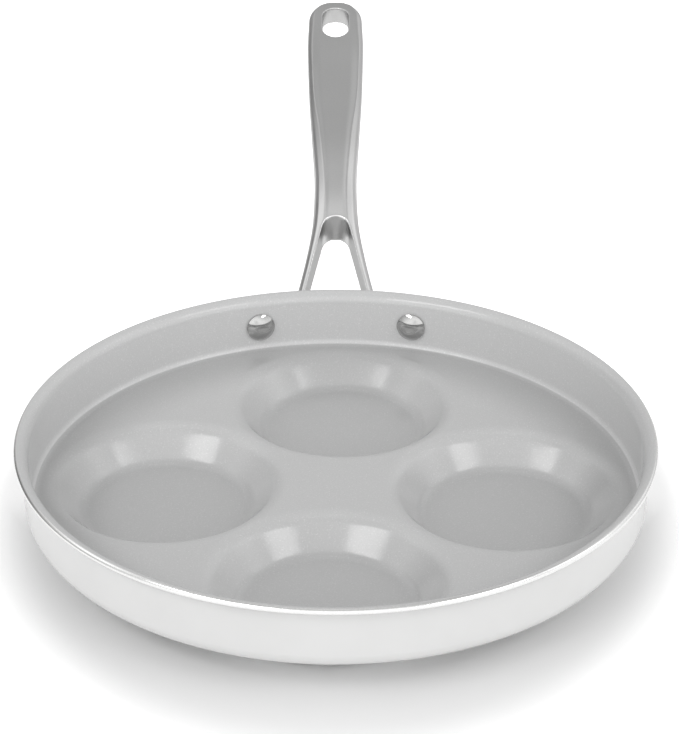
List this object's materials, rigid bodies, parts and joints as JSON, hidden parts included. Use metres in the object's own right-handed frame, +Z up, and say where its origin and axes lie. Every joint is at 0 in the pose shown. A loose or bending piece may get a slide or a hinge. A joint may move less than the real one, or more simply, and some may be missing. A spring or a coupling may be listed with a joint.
{
  "type": "egg pan",
  "caption": "Shallow round pan with round cups pressed down through its floor, a flared pouring lip and one riveted two-armed metal handle that rises to a flat grip with a hanging hole.",
  "frame": {"origin": "on the ground, under the middle of the bounding box of the whole pan with its handle", "axes": "+Z up, away from the hob; +Y from the middle of the pan towards the tip of the handle; +X to the right when the handle points away"},
  "size_m": [0.26, 0.4518, 0.1161],
  "materials": {
    "enamelled_aluminium": "glossy white enamel outside, speckled grey ceramic coating inside, bare ground aluminium at the lip's edge",
    "cast_steel": "satin cast stainless steel, brighter on the arms and the neck",
    "polished_steel": "polished stainless steel",
    "magnetic_steel": "plain magnetic stainless sheet"
  },
  "bodies": {
    "root": {"pan_body": "enamelled_aluminium", "handle": "cast_steel", "rivet_left": "polished_steel", "rivet_right": "polished_steel", "base_disc_front": "magnetic_steel", "base_disc_right": "magnetic_steel", "base_disc_back": "magnetic_steel", "base_disc_left": "magnetic_steel"}
  },
  "joints": []
}
